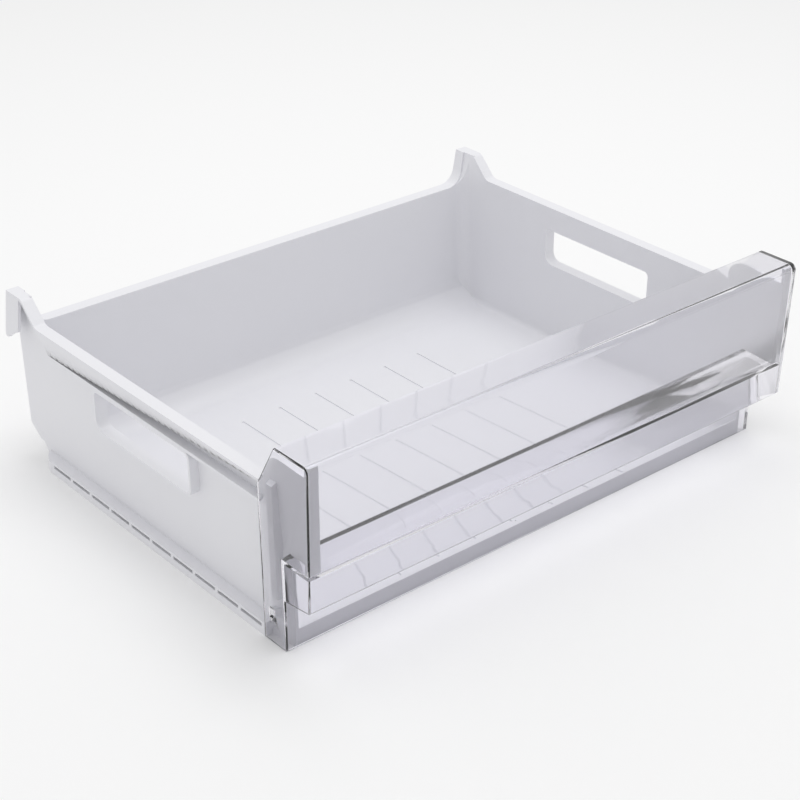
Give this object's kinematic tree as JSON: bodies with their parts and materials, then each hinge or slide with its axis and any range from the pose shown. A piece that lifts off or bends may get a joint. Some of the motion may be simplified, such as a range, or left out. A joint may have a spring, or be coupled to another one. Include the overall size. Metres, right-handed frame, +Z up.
{
  "type": "freezer drawer",
  "caption": "White moulded freezer drawer with a clear hooded front, hand holes in its sides, runner grooves under its rims and slotted bottom runners.",
  "frame": {"origin": "centre of the overall box, on the flat underside of the floor", "axes": "+Z up, -Y out of the appliance through the clear front, +X to the right seen from the front"},
  "size_m": [0.438, 0.3456, 0.1442],
  "materials": {
    "white_plastic": "satin",
    "clear_plastic": "gloss"
  },
  "bodies": {
    "root": {"tub": "white_plastic", "front_panel": "clear_plastic"}
  },
  "joints": []
}
